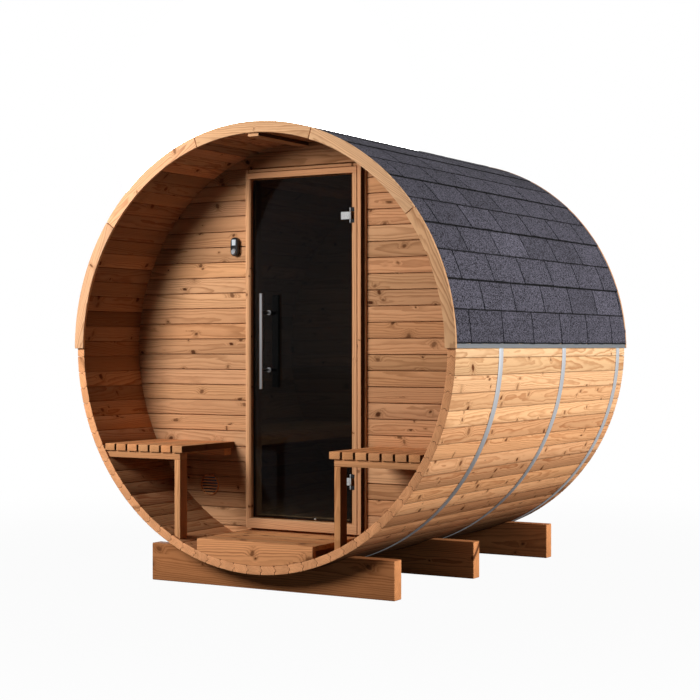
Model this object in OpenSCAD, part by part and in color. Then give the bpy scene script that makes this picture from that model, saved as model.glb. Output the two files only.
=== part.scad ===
// Barrel sauna: a staved barrel on three cradles, with an open porch, a glass door,
// benches in the porch and in the cabin, and a shingle roof over its upper half.
// The barrel lies along Y with its porch at -Y. The origin is on the ground under its middle.

/* [Barrel] */
// Radius from the barrel's axis to the outer flats of the staves
barrel_r = 1030; // [940:5:1120]
// Length of the staves from front to back
stave_len = 1996; // [1700:2:2600]
// Thickness of a stave
stave_t = 40; // [34:1:46]
// Number of staves round the barrel, four odd quarters
stave_count = 84; // [76:8:100]
// Radius of the bead along one edge of a stave
bead_r = 8; // [5:0.5:10]
// Chamfer along the edges of a stave
stave_ease = 1.5; // [0.5:0.5:3]
// Height of the lowest stave above the ground
barrel_lift = 86; // [60:1:160]
// Depth of the groove that holds an end wall in the staves
groove_d = 10; // [6:1:14]

/* [Hoops] */
// Width of a steel hoop
hoop_w = 44; // [25:1:50]
// Thickness of a steel hoop
hoop_t = 1; // [0.8:0.1:2]

/* [Cradles] */
// Length of a cradle plank across the barrel
cradle_len = 1336; // [1100:2:1600]
// Thickness of a cradle plank
cradle_t = 66; // [45:1:80]
// Top of a cradle plank above the lowest stave
cradle_rise = 93; // [70:1:140]
// Front stave ends to the front cradle
cradle_front_y = 120; // [60:1:260]
// Front stave ends to the middle cradle
cradle_mid_y = 916; // [700:1:1060]
// Rear stave ends to the rear cradle
cradle_rear_inset = 130; // [126:1:300]

/* [End trim] */
// Thickness of the arched trim on the stave ends
fascia_t = 15; // [10:1:25]
// How far the trim stands out past the staves
fascia_out = 7; // [7:1:15]
// How far the trim reaches inside the staves
fascia_lip = 6; // [0:1:15]
// Number of sawn pieces in one arch of trim
fascia_parts = 5; // [3:1:8]

/* [Roof] */
// Length of a shingle that shows in each course
course_exposure = 135; // [100:1:170]
// Length of the lowest shingle that shows
first_course = 149; // [110:1:180]
// Shingle thickness at its lower edge
shingle_butt_t = 3.6; // [3:0.1:6]
// Shingle thickness at its upper edge
shingle_head_t = 2.2; // [1.5:0.1:3]
// Half width of the ridge strip
ridge_half_w = 95; // [70:1:150]
// Thickness of the ridge strip
ridge_t = 2; // [1.5:0.1:4]
// Height of the drip edge below the shingles
drip_h = 19; // [12:1:40]
// Thickness of the drip edge
drip_t = 1.6; // [1:0.1:3]
// Bottom of the drip edge above the barrel's axis
drip_rise = 3; // [0:1:20]

/* [End walls] */
// Front stave ends to the face of the front wall
porch_depth = 434; // [400:1:600]
// Thickness of an end wall
wall_t = 36; // [28:1:45]
// Rear stave ends to the face of the back wall
back_inset = 83; // [60:1:90]

/* [Door frame] */
// Half width over the door frame
frame_half_w = 317; // [300:1:340]
// Inside of the highest stave to the top of the door frame
head_gap = 120; // [110:1:170]
// Step to the bottom of the door frame
sill_gap = 13; // [2:1:25]
// Width of a jamb seen from the front
jamb_w = 36.5; // [30:0.5:45]
// Height of the header
header_h = 46; // [35:1:60]
// Height of the sill
sill_h = 47; // [35:1:60]
// How far the frame stands out from the front wall
frame_proud = 42; // [35:1:50]
// Width of the stop strips that the door closes towards
stop_w = 14; // [10:1:20]

/* [Door] */
// Thickness of the glass
glass_t = 8; // [6:1:10]
// Gap round the glass
door_gap = 5; // [5:0.5:8]
// Front of the frame to the front of the glass
glass_recess = 20; // [16:1:24]
// End of the glass to the middle of a hinge
hinge_inset = 193; // [120:1:300]
// Height of a hinge
hinge_h = 72; // [60:1:90]
// Height of the clamp that grips the glass
clamp_h = 36; // [28:1:45]
// Reach of the clamp over the glass
clamp_reach = 54; // [40:1:70]
// Thickness of a clamp plate
clamp_t = 4; // [3:0.5:5]
// Radius of the hinge knuckles
knuckle_r = 5; // [4:0.5:6]
// Edge of the doorway to the hinge axis
knuckle_inset = 3.5; // [3:0.5:5]
// Face of the clamp plate to the hinge axis
knuckle_out = 3; // [2:0.5:4]
// Depth of the hinge notch in the jamb
notch_w = 13; // [11:0.5:16]
// Thickness of the hinge plate in the notch
leaf_t = 4; // [3:0.5:5]
// Radius of the catch stud on the glass
stud_r = 5; // [4:0.5:8]
// Length of the catch stud
stud_len = 10; // [6:1:14]
// Bottom of the glass to the middle of the catch stud
stud_rise = 7.5; // [6:0.5:20]
// Hinge edge of the glass to the catch stud
stud_inset = 193.5; // [130:0.5:230]

/* [Handles] */
// Free edge of the glass to the handles
handle_inset = 92.5; // [75:0.5:120]
// Height of the handles' middle above the axis
handle_z = 36; // [0:1:80]
// Radius of the outer bar
bar_r = 10; // [8:0.5:14]
// Length of the outer bar
bar_len = 460; // [380:2:520]
// Glass to the middle of the outer bar
bar_stand = 71; // [55:1:85]
// Distance between the handle's fixings
fixing_pitch = 277; // [220:1:320]
// Radius of the handle's fixings
fixing_r = 7; // [5:0.5:8]
// Width of the inner bar
inner_bar_w = 37; // [28:1:45]
// Thickness of the inner bar
inner_bar_t = 14; // [10:1:20]
// Length of the inner bar
inner_bar_len = 450; // [380:2:520]
// Glass to the inner bar
inner_stand = 45; // [35:1:60]

/* [Porch benches] */
// Top of a bench above the inside of the lowest stave
bench_rise = 534; // [480:1:570]
// Side of the door frame to the near edge of a bench
bench_gap = 85; // [60:1:110]
// Width of a slat
slat_w = 58; // [50:1:60]
// Thickness of a slat
slat_t = 33; // [25:1:40]
// Least gap between slats
slat_gap = 6; // [4:1:12]
// Height of the rails under the slats
rail_h = 33; // [25:1:45]
// Depth of a rail from front to back
rail_d = 58; // [40:1:80]
// How far the slats reach past the front rail
rail_setback = 12; // [6:1:30]
// Width of the front leg
leg_w = 33; // [28:1:45]
// Near edge of the bench to the front leg
leg_inset = 20; // [0:1:40]

/* [Cabin benches] */
// Top of a cabin bench above the inside of the lowest stave
cabin_bench_rise = 569; // [480:1:620]
// Width of the rail along the near edge of a cabin bench
cabin_rail_w = 30; // [24:1:45]
// Number of bearers under a cabin bench
cabin_bearers = 3; // [2:1:5]
// Width of a bearer under a cabin bench
cabin_bearer_w = 45; // [35:1:60]
// End wall to the first bearer under a cabin bench
cabin_bearer_inset = 60; // [20:1:150]

/* [Porch step] */
// Top of the step above the inside of the lowest stave
step_rise = 107; // [90:1:130]
// Thickness of the step's boards
step_board_t = 22; // [18:1:30]
// Number of boards behind the front board
step_board_count = 5; // [4:1:6]
// Thickness of the step's front board
step_front_t = 28; // [20:1:40]
// Gap between the step's boards
step_gap = 3; // [1:0.5:6]
// Thickness of the bearers under the step
bearer_t = 30; // [20:1:40]
// End of the step to a bearer
bearer_inset = 55; // [40:1:120]

/* [Porch ceiling] */
// Width of the ceiling batten
batten_w = 60; // [40:1:70]
// Thickness of the ceiling batten
batten_t = 21; // [15:1:30]

/* [Wall fittings] */
// Side of the door frame to the heater control
control_gap = 71; // [50:1:100]
// Height of the heater control above the axis
control_z = 500; // [400:1:560]
// Width of the heater control
control_w = 42; // [36:1:50]
// Height of the heater control
control_h = 92; // [80:1:110]
// Thickness of the heater control
control_t = 26; // [18:1:32]
// Radius of the heater control's knob
knob_r = 13; // [10:0.5:15]
// How far the knob stands out
knob_t = 7; // [5:1:12]
// Side of the door frame to the vent
vent_gap = 229; // [200:1:245]
// Vent above the inside of the lowest stave
vent_rise = 317; // [300:1:340]
// Radius of the vent cover
vent_r = 52; // [46:1:56]
// Thickness of the vent cover
vent_t = 12; // [8:1:18]
// Thickness left behind the slots
vent_web = 4; // [3:0.5:5]
// Number of slots in the vent cover
vent_slots = 6; // [4:1:8]
// Width of the rim round the slots
vent_rim = 9; // [6:1:12]

/* [Hidden] */
$fn = 128;
// Play between pieces that seat on each other
fit_gap = 0.3;
// Cutting tools reach this far past what they cut
past = 5;
pitch = 360 / stave_count;
quarter = stave_count / 4;
stave_ri = barrel_r - stave_t;
stave_rm = barrel_r - stave_t / 2;
stave_corner_r = norm([barrel_r, stave_edge(barrel_r)]);
groove_r = stave_ri + groove_d;
wall_r = groove_r - fit_gap;
inside_r = stave_ri - fit_gap;
axis_z = barrel_lift + barrel_r;
cradle_h = barrel_lift + cradle_rise;
front_y = -stave_len / 2;
rear_y = stave_len / 2;
hoop_r = stave_corner_r + fit_gap;
saddle_r = stave_corner_r + fit_gap;
roof_r = hoop_r + hoop_t + fit_gap;
wood_dark = "#b07a4a";
wood_pale = "#d8a672";
wood_deep = "#8a5a36";
steel = "#b8bcc0";
shingle = "#4a4a52";
black_metal = "#26262a";
black_wood = "#2a2522";
black_plastic = "#1c1c1e";
dark_glass = "#20201e";

// Front wall, back wall and the door frame along Y
wall_y = front_y + porch_depth;
back_y = rear_y - back_inset - wall_t;
frame_y = wall_y - frame_proud;
frame_d = frame_proud + wall_t;
glass_y = frame_y + glass_recess;
stop_y = glass_y + glass_t + door_gap;
hoop_front_y = wall_y + wall_t / 2;
hoop_rear_y = back_y + wall_t / 2;
hoop_mid_y = (hoop_front_y + hoop_rear_y) / 2;

// Heights of the step and the door frame, measured from the axis
step_drop = stave_ri - step_rise;
frame_top = stave_ri - head_gap;
frame_drop = step_drop - sill_gap;

// Door opening, measured from the axis
open_half_w = frame_half_w - jamb_w;
open_top = frame_top - header_h;
open_drop = frame_drop - sill_h;
glass_half_w = open_half_w - door_gap;
glass_top = open_top - door_gap;
glass_drop = open_drop - door_gap;
hinge_x = open_half_w - knuckle_inset;
hinge_y = glass_y - clamp_t - knuckle_out;
hinge_heights = [glass_top - hinge_inset, hinge_inset - glass_drop];
handle_x = glass_half_w - handle_inset;

// Roof courses, as angles up from the drip edge
roof_start = asin((drip_rise + drip_h + fit_gap) / roof_r);
first_angle = first_course / roof_r * 180 / PI;
course_angle = course_exposure / roof_r * 180 / PI;
course_count = 1 + ceil((90 - roof_start - first_angle) / course_angle);
roof_gap_angle = fit_gap / roof_r * 180 / PI;
ridge_r = roof_r + shingle_butt_t + fit_gap;
ridge_angle = ridge_half_w / ridge_r * 180 / PI;

// Benches
bench_x = frame_half_w + bench_gap;
bench_drop = stave_ri - bench_rise;
rail_top_z = axis_z - bench_drop - slat_t - fit_gap;
cabin_drop = stave_ri - cabin_bench_rise;
cabin_rail_top_z = axis_z - cabin_drop - slat_t - fit_gap;
cabin_y0 = wall_y + wall_t + fit_gap;
cabin_y1 = back_y - fit_gap;

// Step
step_half_w = frame_half_w;
step_top_z = axis_z - step_drop;
step_back_y = wall_y - fit_gap;
step_board_span = step_back_y - front_y - step_front_t - fit_gap;
step_board_pitch = step_board_span / step_board_count;

// Half the width of a stave at radius r, less half the play between staves
function stave_edge(r) = r * tan(180 / stave_count) - fit_gap / 2;

// Where a bench with its top this far below the axis meets the staves
function bench_reach(drop) = sqrt(pow(inside_r, 2) - pow(drop + slat_t, 2)) - fit_gap;

// Carries a profile in X and Z, drawn about the barrel's axis, along Y
module along_y(y, length) {
    translate([0, y + length, axis_z])
        rotate([90, 0, 0])
            linear_extrude(length)
                children();
}

module barrel_core(r, y, length) {
    along_y(y, length)
        circle(r);
}

module box(low, high) {
    translate(low)
        cube(high - low);
}

// Sawn to the curve of the staves inside the barrel, from y on
module scribed(y, length) {
    intersection() {
        children();
        barrel_core(inside_r, y - past, length + 2 * past);
    }
}

module mirror_x(side) {
    if (side < 0)
        mirror([1, 0, 0])
            children();
    else
        children();
}

// Wedge between two angles, large enough to cut a ring of radius r
module wedge(a0, a1, r) {
    reach = (r + past) / cos((a1 - a0) / 2);
    polygon([
        [0, 0],
        [reach * cos(a0), reach * sin(a0)],
        [reach * cos(a1), reach * sin(a1)]
    ]);
}

module ring_part(r0, r1, a0, a1) {
    intersection() {
        difference() {
            circle(r1);
            circle(r0);
        }
        wedge(a0, a1, r1);
    }
}

// A stave seen end on: flat faces, eased edges, a bead on one edge and a cove on the other
module stave_profile() {
    lo = stave_ri;
    hi = barrel_r;
    e = stave_ease;
    difference() {
        union() {
            polygon([
                [lo, -stave_edge(lo) + e],
                [lo + e, -stave_edge(lo + e)],
                [hi - e, -stave_edge(hi - e)],
                [hi, -stave_edge(hi) + e],
                [hi, stave_edge(hi) - e],
                [hi - e, stave_edge(hi - e)],
                [lo + e, stave_edge(lo + e)],
                [lo, stave_edge(lo) - e]
            ]);
            translate([stave_rm, stave_edge(stave_rm)])
                circle(bead_r);
        }
        rotate(-pitch)
            translate([stave_rm, stave_edge(stave_rm)])
                circle(bead_r + fit_gap);
    }
}

// A quarter of the barrel, with the grooves for both end walls
module stave_quarter(middle_angle) {
    color(wood_pale)
        difference() {
            for (i = [0 : quarter - 1])
                along_y(front_y, stave_len)
                    rotate(middle_angle + (i - (quarter - 1) / 2) * pitch)
                        stave_profile();
            barrel_core(groove_r, wall_y - fit_gap, wall_t + 2 * fit_gap);
            barrel_core(groove_r, back_y - fit_gap, wall_t + 2 * fit_gap);
        }
}

module staves_bottom() { stave_quarter(270); }
module staves_right() { stave_quarter(0); }
module staves_top() { stave_quarter(90); }
module staves_left() { stave_quarter(180); }

module hoop(y) {
    color(steel)
        along_y(y - hoop_w / 2, hoop_w)
            difference() {
                circle(hoop_r + hoop_t);
                circle(hoop_r);
            }
}

module hoop_front() { hoop(hoop_front_y); }
module hoop_middle() { hoop(hoop_mid_y); }
module hoop_rear() { hoop(hoop_rear_y); }

// A plank on edge with a saddle sawn to the barrel's curve
module cradle(y) {
    color(wood_dark)
        difference() {
            box([-cradle_len / 2, y, 0], [cradle_len / 2, y + cradle_t, cradle_h]);
            barrel_core(saddle_r, y - past, cradle_t + 2 * past);
        }
}

module cradle_front() { cradle(front_y + cradle_front_y); }
module cradle_middle() { cradle(front_y + cradle_mid_y); }
module cradle_rear() { cradle(rear_y - cradle_rear_inset - cradle_t); }

// An arch of sawn pieces over the upper half of the stave ends
module trim_arch(y) {
    span = 180 / fascia_parts;
    play = fit_gap / barrel_r * 180 / PI;
    color(wood_pale)
        for (i = [0 : fascia_parts - 1])
            along_y(y, fascia_t)
                ring_part(
                    stave_ri - fascia_lip,
                    barrel_r + fascia_out,
                    i * span + play,
                    (i + 1) * span - play
                );
}

module front_trim_arch() { trim_arch(front_y - fit_gap - fascia_t); }
module rear_trim_arch() { trim_arch(rear_y + fit_gap); }

// One course of shingles: thick at its lower edge, thin at its head under the next course
module course(a0, a1) {
    half = (a1 - a0) / 2;
    middle = (a0 + a1) / 2;
    mean_t = (shingle_butt_t + shingle_head_t) / 2;
    slide = (shingle_butt_t - shingle_head_t) / 2 / sin(half);
    along_y(front_y, stave_len)
        rotate(middle)
            intersection() {
                difference() {
                    translate([0, -slide])
                        circle(roof_r + mean_t);
                    circle(roof_r);
                }
                wedge(-half + roof_gap_angle, half - roof_gap_angle, roof_r + shingle_butt_t);
            }
}

module shingle_side() {
    color(shingle)
        for (i = [0 : course_count - 1]) {
            a0 = roof_start + (i == 0 ? 0 : first_angle + (i - 1) * course_angle);
            a1 = min(90, roof_start + first_angle + i * course_angle);
            course(a0, a1);
        }
}

module roof_shingles_right() { shingle_side(); }
module roof_shingles_left() { mirror_x(-1) shingle_side(); }

module roof_ridge() {
    color(shingle)
        along_y(front_y, stave_len)
            ring_part(ridge_r, ridge_r + ridge_t, 90 - ridge_angle, 90 + ridge_angle);
}

module drip_edge() {
    color(steel)
        box(
            [roof_r, front_y, axis_z + drip_rise],
            [roof_r + drip_t, rear_y, axis_z + drip_rise + drip_h]
        );
}

module drip_edge_right() { drip_edge(); }
module drip_edge_left() { mirror_x(-1) drip_edge(); }

// Part of the front wall, between two corners in X and Z measured from the axis
module wall_piece(low, high) {
    color(wood_dark)
        intersection() {
            barrel_core(wall_r, wall_y, wall_t);
            box(
                [low[0], wall_y - past, axis_z + low[1]],
                [high[0], wall_y + wall_t + past, axis_z + high[1]]
            );
        }
}

module front_wall_left() {
    wall_piece([-barrel_r, -barrel_r], [-frame_half_w - fit_gap, barrel_r]);
}

module front_wall_right() {
    wall_piece([frame_half_w + fit_gap, -barrel_r], [barrel_r, barrel_r]);
}

module front_wall_above_door() {
    wall_piece([-frame_half_w, frame_top + fit_gap], [frame_half_w, barrel_r]);
}

module front_wall_below_door() {
    wall_piece([-frame_half_w, -barrel_r], [frame_half_w, -frame_drop - fit_gap]);
}

module back_wall() {
    color(wood_dark)
        barrel_core(wall_r, back_y, wall_t);
}

module jamb() {
    color(wood_pale)
        box(
            [open_half_w, frame_y, axis_z - open_drop + fit_gap],
            [frame_half_w, frame_y + frame_d, axis_z + open_top - fit_gap]
        );
}

module door_jamb_left() { mirror_x(-1) jamb(); }

// The hinge side has a notch for each hinge, open to the front and to the doorway
module door_jamb_right() {
    color(wood_pale)
        difference() {
            jamb();
            for (z = hinge_heights)
                box(
                    [open_half_w - past, frame_y - past, axis_z + z - hinge_h / 2 - fit_gap],
                    [open_half_w + notch_w, stop_y, axis_z + z + hinge_h / 2 + fit_gap]
                );
        }
}

module frame_rail(z0, z1) {
    color(wood_pale)
        box(
            [-frame_half_w, frame_y, axis_z + z0],
            [frame_half_w, frame_y + frame_d, axis_z + z1]
        );
}

module door_header() { frame_rail(open_top, frame_top); }
module door_sill() { frame_rail(-frame_drop, -open_drop); }

// Strips behind the glass on all four sides of the opening
module door_stops() {
    x = open_half_w - fit_gap;
    z0 = axis_z - open_drop + fit_gap;
    z1 = axis_z + open_top - fit_gap;
    end_y = frame_y + frame_d;
    color(wood_deep) {
        for (side = [-1, 1])
            mirror_x(side)
                box([x - stop_w, stop_y, z0], [x, end_y, z1]);
        inner = x - stop_w - fit_gap;
        box([-inner, stop_y, z0], [inner, end_y, z0 + stop_w]);
        box([-inner, stop_y, z1 - stop_w], [inner, end_y, z1]);
    }
}

module hinge_knuckle(z0, z1) {
    translate([hinge_x, hinge_y, axis_z + z0])
        cylinder(r = knuckle_r, h = z1 - z0);
}

// Fixed half of each hinge: a plate in the notch, carrying a knuckle above and below the clamp
module door_hinge_plates() {
    leaf_x = open_half_w + notch_w - fit_gap;
    leaf_y0 = hinge_y - knuckle_r;
    leaf_y1 = stop_y - fit_gap;
    color(black_metal)
        for (z = hinge_heights) {
            box(
                [leaf_x - leaf_t, leaf_y0, axis_z + z - hinge_h / 2],
                [leaf_x, leaf_y1, axis_z + z + hinge_h / 2]
            );
            for (end = [-1, 1]) {
                z_in = z + end * (clamp_h / 2 + 2 * fit_gap);
                z_out = z + end * hinge_h / 2;
                z0 = min(z_in, z_out);
                z1 = max(z_in, z_out);
                hinge_knuckle(z0, z1);
                box(
                    [hinge_x, hinge_y - knuckle_r, axis_z + z0],
                    [leaf_x - leaf_t / 2, hinge_y + knuckle_r, axis_z + z1]
                );
            }
        }
}

module door_glass() {
    color(dark_glass)
        box(
            [-glass_half_w, glass_y, axis_z - glass_drop],
            [glass_half_w, glass_y + glass_t, axis_z + glass_top]
        );
}

// Moving half of each hinge: a plate on each face of the glass and the middle knuckle
module door_hinge_clamps() {
    color(steel)
        for (z = hinge_heights) {
            hinge_knuckle(z - clamp_h / 2, z + clamp_h / 2);
            box(
                [hinge_x - clamp_reach, glass_y - clamp_t, axis_z + z - clamp_h / 2],
                [hinge_x, glass_y - fit_gap, axis_z + z + clamp_h / 2]
            );
            box(
                [
                    hinge_x - clamp_reach,
                    glass_y + glass_t + fit_gap,
                    axis_z + z - clamp_h / 2
                ],
                [
                    open_half_w - stop_w - door_gap,
                    glass_y + glass_t + clamp_t,
                    axis_z + z + clamp_h / 2
                ]
            );
        }
}

module door_catch_stud() {
    color(steel)
        translate([glass_half_w - stud_inset, glass_y - fit_gap, axis_z - glass_drop + stud_rise])
            rotate([90, 0, 0])
                cylinder(r = stud_r, h = stud_len);
}

// Round bar on two fixings that stand on the outer face of the glass
module door_handle_outside() {
    bar_y = glass_y - bar_stand;
    color(steel) {
        translate([-handle_x, bar_y, axis_z + handle_z - bar_len / 2])
            cylinder(r = bar_r, h = bar_len);
        for (side = [-1, 1])
            translate([-handle_x, glass_y - fit_gap, axis_z + handle_z + side * fixing_pitch / 2])
                rotate([90, 0, 0])
                    cylinder(r = fixing_r, h = bar_stand - bar_r - 2 * fit_gap);
    }
}

module door_handle_inside() {
    back = glass_y + glass_t;
    color(black_wood) {
        box(
            [
                -handle_x - inner_bar_w / 2,
                back + inner_stand,
                axis_z + handle_z - inner_bar_len / 2
            ],
            [
                -handle_x + inner_bar_w / 2,
                back + inner_stand + inner_bar_t,
                axis_z + handle_z + inner_bar_len / 2
            ]
        );
        for (side = [-1, 1])
            translate([
                -handle_x,
                back + inner_stand - fit_gap,
                axis_z + handle_z + side * fixing_pitch / 2
            ])
                rotate([90, 0, 0])
                    cylinder(r = fixing_r, h = inner_stand - 2 * fit_gap);
    }
}

// Slats along the barrel from y0 to y1, as many as fit between the near edge and the staves
module slats(y0, y1, drop) {
    count = floor((bench_reach(drop) - bench_x + slat_gap) / (slat_w + slat_gap));
    slat_pitch = (bench_reach(drop) - bench_x - slat_w) / (count - 1);
    color(wood_dark)
        for (i = [0 : count - 1])
            translate([bench_x + i * slat_pitch, y0, axis_z - drop - slat_t])
                cube([slat_w, y1 - y0, slat_t]);
}

module bench_slats() { slats(front_y, wall_y - fit_gap, bench_drop); }

// Front and back rails, sawn to the barrel's curve, and a front leg down to the staves
module bench_frame() {
    x = bench_x + leg_inset;
    leg_y = front_y + rail_setback;
    color(wood_dark) {
        for (y = [leg_y, wall_y - fit_gap - rail_d])
            scribed(y, rail_d)
                box([x, y, rail_top_z - rail_h], [barrel_r, y + rail_d, rail_top_z]);
        scribed(leg_y, rail_d)
            box(
                [x, leg_y, barrel_lift],
                [x + leg_w, leg_y + rail_d, rail_top_z - rail_h - fit_gap]
            );
    }
}

// Slats from wall to wall, with a rail under the near slat and bearers from it to the staves
module cabin_bench() {
    z0 = cabin_rail_top_z - rail_h;
    bearer_x = bench_x + cabin_rail_w + fit_gap;
    first_y = cabin_y0 + cabin_bearer_inset;
    last_y = cabin_y1 - cabin_bearer_inset - cabin_bearer_w;
    slats(cabin_y0, cabin_y1, cabin_drop);
    color(wood_dark) {
        box([bench_x, cabin_y0, z0], [bench_x + cabin_rail_w, cabin_y1, cabin_rail_top_z]);
        for (i = [0 : cabin_bearers - 1]) {
            y = first_y + i * (last_y - first_y) / (cabin_bearers - 1);
            scribed(y, cabin_bearer_w)
                box([bearer_x, y, z0], [barrel_r, y + cabin_bearer_w, cabin_rail_top_z]);
        }
    }
}

module bench_slats_left() { mirror_x(-1) bench_slats(); }
module bench_frame_left() { mirror_x(-1) bench_frame(); }
module bench_slats_right() { bench_slats(); }
module bench_frame_right() { bench_frame(); }
module cabin_bench_left() { mirror_x(-1) cabin_bench(); }
module cabin_bench_right() { cabin_bench(); }

module step_boards() {
    color(wood_pale)
        for (i = [0 : step_board_count - 1])
            translate([
                -step_half_w,
                front_y + step_front_t + fit_gap + i * step_board_pitch + (i == 0 ? 0 : step_gap),
                step_top_z - step_board_t
            ])
                cube([
                    2 * step_half_w,
                    step_board_pitch - (i == 0 ? 0 : step_gap),
                    step_board_t
                ]);
}

// The front board, scribed to the barrel's curve
module step_front_board() {
    color(wood_pale)
        scribed(front_y, step_front_t)
            box(
                [-step_half_w, front_y, barrel_lift],
                [step_half_w, front_y + step_front_t, step_top_z]
            );
}

// Two bearers along the barrel, from the front board to the front wall
module step_bearers() {
    x = step_half_w - bearer_inset;
    y = front_y + step_front_t + fit_gap;
    color(wood_deep)
        for (side = [-1, 1])
            mirror_x(side)
                scribed(y, step_board_span)
                    box(
                        [x - bearer_t, y, barrel_lift],
                        [x, step_back_y, step_top_z - step_board_t - fit_gap]
                    );
}

module porch_ceiling_batten() {
    color(wood_pale)
        box(
            [-batten_w / 2, front_y, axis_z + inside_r - batten_t],
            [batten_w / 2, wall_y - fit_gap, axis_z + inside_r]
        );
}

// Upright housing with round ends and a knob on its lower half
module heater_control() {
    round_r = control_w / 2;
    drop = control_h / 2 - round_r;
    color(black_plastic)
        translate([-frame_half_w - control_gap, wall_y - fit_gap, axis_z + control_z])
            rotate([90, 0, 0]) {
                linear_extrude(control_t)
                    union() {
                        square([control_w, 2 * drop], center = true);
                        for (side = [-1, 1])
                            translate([0, side * drop])
                                circle(round_r);
                    }
                translate([0, -drop, 0])
                    cylinder(r = knob_r, h = control_t + knob_t);
            }
}

// Round cover with level slots
module wall_vent() {
    field = vent_r - vent_rim;
    slot_pitch = 2 * field / (vent_slots + 1);
    slot_w = slot_pitch / 2;
    color(wood_dark)
        translate([-frame_half_w - vent_gap, wall_y - fit_gap, axis_z - stave_ri + vent_rise])
            rotate([90, 0, 0])
                difference() {
                    cylinder(r = vent_r, h = vent_t);
                    intersection() {
                        translate([0, 0, vent_web])
                            cylinder(r = field, h = vent_t);
                        for (i = [1 : vent_slots])
                            translate([0, -field + i * slot_pitch, vent_t])
                                cube([2 * vent_r, slot_w, 2 * vent_t], center = true);
                    }
                }
}

staves_bottom();
staves_right();
staves_top();
staves_left();
hoop_front();
hoop_middle();
hoop_rear();
cradle_front();
cradle_middle();
cradle_rear();
front_trim_arch();
rear_trim_arch();
roof_shingles_right();
roof_shingles_left();
roof_ridge();
drip_edge_right();
drip_edge_left();
front_wall_left();
front_wall_right();
front_wall_above_door();
front_wall_below_door();
back_wall();
door_jamb_left();
door_jamb_right();
door_header();
door_sill();
door_stops();
door_hinge_plates();
door_glass();
door_hinge_clamps();
door_catch_stud();
door_handle_outside();
door_handle_inside();
bench_slats_left();
bench_frame_left();
bench_slats_right();
bench_frame_right();
cabin_bench_left();
cabin_bench_right();
step_boards();
step_front_board();
step_bearers();
porch_ceiling_batten();
heater_control();
wall_vent();
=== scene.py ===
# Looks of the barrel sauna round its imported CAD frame. Metres, barrel along Y, porch towards -Y.
import math

import bmesh
import bpy
import numpy as np
from mathutils import Matrix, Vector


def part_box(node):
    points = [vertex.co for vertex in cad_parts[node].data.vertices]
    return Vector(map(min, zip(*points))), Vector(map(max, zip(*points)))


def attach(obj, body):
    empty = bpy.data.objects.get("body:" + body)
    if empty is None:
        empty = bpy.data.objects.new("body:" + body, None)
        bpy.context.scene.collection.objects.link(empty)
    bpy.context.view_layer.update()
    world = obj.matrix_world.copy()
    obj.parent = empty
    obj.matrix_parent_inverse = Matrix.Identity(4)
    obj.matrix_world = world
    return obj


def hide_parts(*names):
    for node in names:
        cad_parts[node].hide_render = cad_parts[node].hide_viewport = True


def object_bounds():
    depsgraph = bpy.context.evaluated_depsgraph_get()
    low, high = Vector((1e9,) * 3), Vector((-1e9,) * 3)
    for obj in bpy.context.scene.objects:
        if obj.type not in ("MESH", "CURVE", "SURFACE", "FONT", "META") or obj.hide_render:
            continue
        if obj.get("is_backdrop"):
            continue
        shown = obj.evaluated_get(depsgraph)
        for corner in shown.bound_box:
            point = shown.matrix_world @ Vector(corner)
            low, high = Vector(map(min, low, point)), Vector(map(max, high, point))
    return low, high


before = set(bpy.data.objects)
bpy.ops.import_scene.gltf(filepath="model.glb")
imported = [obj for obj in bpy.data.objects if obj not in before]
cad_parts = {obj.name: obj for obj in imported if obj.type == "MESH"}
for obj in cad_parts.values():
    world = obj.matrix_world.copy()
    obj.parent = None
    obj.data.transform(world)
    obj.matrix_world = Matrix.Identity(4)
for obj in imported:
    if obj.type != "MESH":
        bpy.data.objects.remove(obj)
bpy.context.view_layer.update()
seed = 41
dice = np.random.default_rng(seed)
print("frame loaded with", len(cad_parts), "nodes")

barrel = dict(
    axisZ=1.116, outerR=1.030, innerR=0.990, staves=84, frontY=-0.998, rearY=0.998,
    wallY=-0.564,  # porch side of the front wall
    wallThick=0.036,
    backY=0.879,  # cabin side of the back wall
)
axis = np.array([0.0, 0.0, barrel["axisZ"]])
frontY, rearY, outerR, wallY = (barrel[key] for key in ("frontY", "rearY", "outerR", "wallY"))
hair = 0.0003  # gap between pieces that touch
plainTone = (1.0, 0.5, 0.5)  # brightness, warmth and redness of a point


def newShape():
    return {"points": [], "faces": [], "grain": [], "tone": [], "size": 0}


def newObject(name, data):
    made = bpy.data.objects.new(name, data)
    bpy.context.scene.collection.objects.link(made)
    return made


# The box of a CAD node and an empty shape to fill it
def begin(node):
    low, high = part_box(node)
    return np.array(low), np.array(high), newShape()


# Rows of closed loops: neighbouring loops are joined by quads, and the first and last get a face
# each, or are joined to each other where the rows run round a ring.
def addTube(shape, loops, grain=None, tone=plainTone, ring=False):
    rows, around = loops.shape[:2]
    index = shape["size"] + np.arange(rows * around).reshape(rows, around)
    after = np.roll(index, -1, axis=1)
    here, there = (index, np.roll(index, -1, axis=0)) if ring else (index[:-1], index[1:])
    nextHere, nextThere = (after, np.roll(after, -1, axis=0)) if ring else (after[:-1], after[1:])
    quads = np.stack([here, nextHere, nextThere, there], axis=-1).reshape(-1, 4)
    shape["faces"] += quads.tolist()
    if not ring:
        shape["faces"] += [index[0, ::-1].tolist(), index[-1].tolist()]
    flat = loops.reshape(-1, 3)
    shape["points"].append(flat)
    shape["grain"].append(flat if grain is None else grain.reshape(-1, 3))
    shape["tone"].append(np.broadcast_to(np.asarray(tone, float), loops.shape).reshape(-1, 3))
    shape["size"] += len(flat)


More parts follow.
